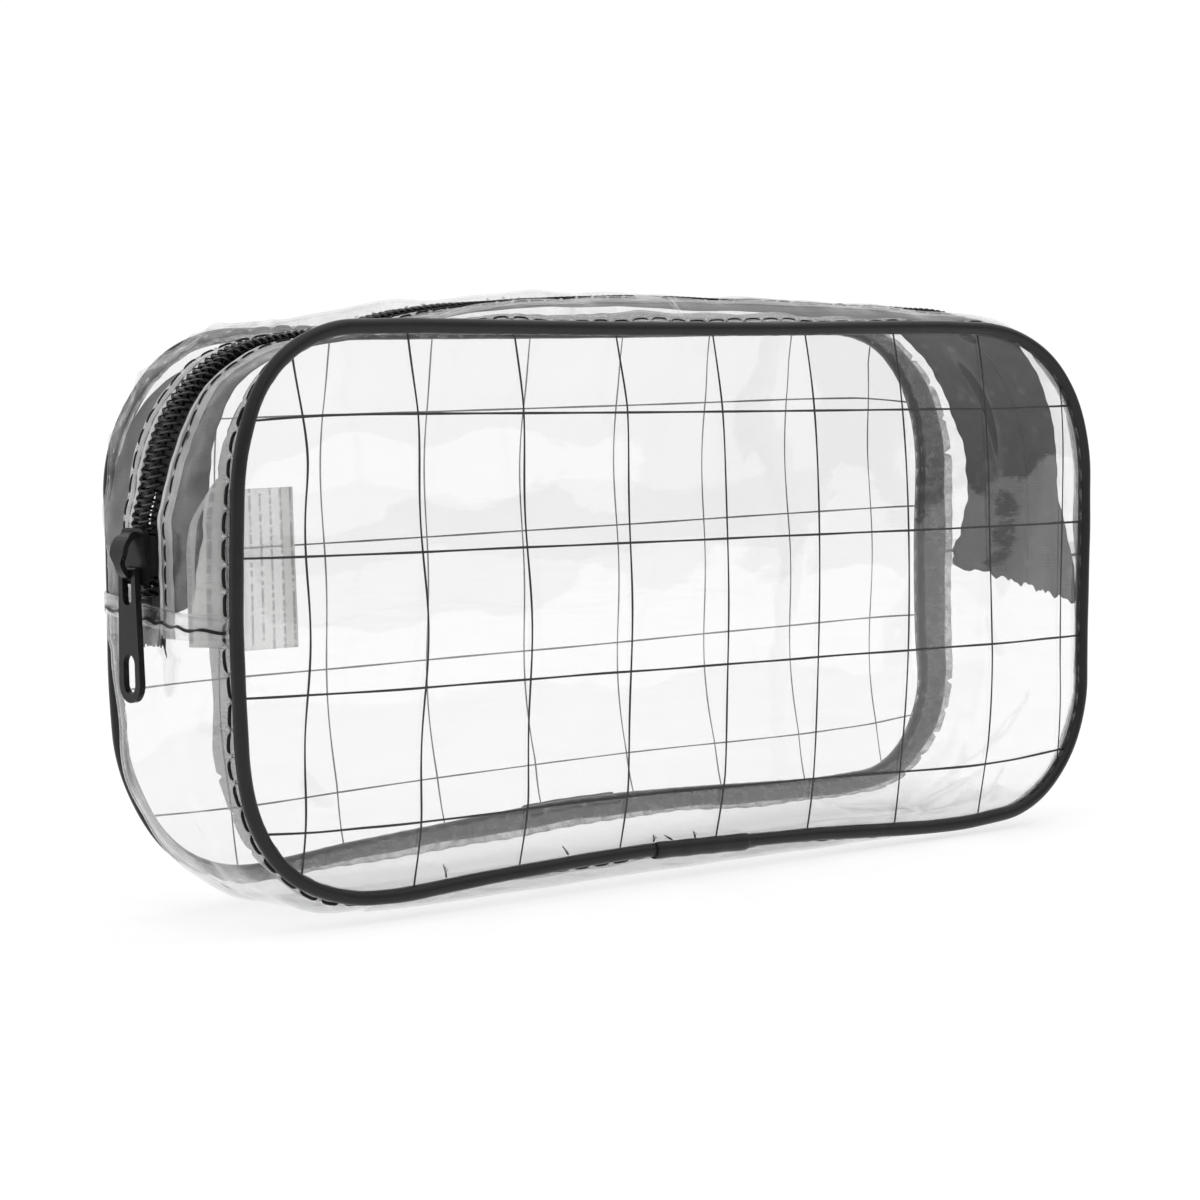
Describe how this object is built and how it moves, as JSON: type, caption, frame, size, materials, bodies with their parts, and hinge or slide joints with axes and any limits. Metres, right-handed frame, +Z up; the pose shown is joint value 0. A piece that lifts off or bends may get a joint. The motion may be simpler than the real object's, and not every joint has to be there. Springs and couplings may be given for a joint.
{
  "type": "makeup bag",
  "caption": "Soft box-shaped clear vinyl makeup bag with a windowpane print, black piping and a coil zipper over the top.",
  "frame": {"origin": "on the surface the bag stands on, under the middle of the body, midway between the front and back panels", "axes": "+Z up; +X along the bag, away from the slider; the front panel faces -Y"},
  "size_m": [0.244, 0.05, 0.1154],
  "materials": {
    "clear_vinyl": "clear flexible PVC sheet, glossy, with thin black printed lines on the panels",
    "hazy_vinyl": "doubled and stitched PVC edges, milky",
    "black_piping": "soft black PVC, satin gloss",
    "zip_tape": "woven polyester tape",
    "zip_coil": "black nylon monofilament",
    "black_thread": "twisted polyester sewing thread",
    "black_enamel": "die-cast zinc, black enamel, semi-gloss",
    "label_film": "thin milky label film"
  },
  "bodies": {
    "root": {"front_panel": "clear_vinyl", "back_panel": "clear_vinyl", "front_piping": "black_piping", "back_piping": "black_piping", "front_piping_sleeve": "black_piping", "back_piping_sleeve": "black_piping", "front_seam_allowance": "hazy_vinyl", "back_seam_allowance": "hazy_vinyl", "front_seam_thread": "black_thread", "back_seam_thread": "black_thread", "bottom_gusset": "clear_vinyl", "left_lap_thread": "black_thread", "right_lap_thread": "black_thread", "front_strip_left": "clear_vinyl", "front_strip_right": "clear_vinyl", "front_tape_left": "zip_tape", "front_tape_right": "zip_tape", "front_coil_left": "zip_coil", "front_coil_right": "zip_coil", "front_zip_thread_left": "black_thread", "front_zip_thread_right": "black_thread", "back_strip_left": "clear_vinyl", "back_strip_right": "clear_vinyl", "back_tape_left": "zip_tape", "back_tape_right": "zip_tape", "back_coil_left": "zip_coil", "back_coil_right": "zip_coil", "back_zip_thread_left": "black_thread", "back_zip_thread_right": "black_thread", "care_label": "label_film"},
    "slider": {"slider_body": "black_enamel"},
    "pull": {"pull_tab": "black_enamel"},
    "front_flap": {"front_strip_top": "clear_vinyl", "front_tape_top": "zip_tape", "front_coil_top": "zip_coil", "front_zip_thread_top": "black_thread"},
    "back_flap": {"back_strip_top": "clear_vinyl", "back_tape_top": "zip_tape", "back_coil_top": "zip_coil", "back_zip_thread_top": "black_thread"}
  },
  "joints": [
    {"name": "slider_run", "type": "slide", "parent": "root", "child": "slider", "axis": [0, 0, 1], "range_m": [0, 0.006]},
    {"name": "pull_swing", "type": "hinge", "parent": "slider", "child": "pull", "pos_m": [-0.12185, 0, 0.0673], "axis": [0, 1, 0], "range_deg": [-4, 100]},
    {"name": "front_flap_fold", "type": "hinge", "parent": "root", "child": "front_flap", "pos_m": [0, -0.0205, 0.1078], "axis": [1, 0, 0], "range_deg": [0, 95]},
    {"name": "back_flap_fold", "type": "hinge", "parent": "root", "child": "back_flap", "pos_m": [0, 0.0205, 0.1078], "axis": [-1, 0, 0], "range_deg": [0, 95]}
  ]
}
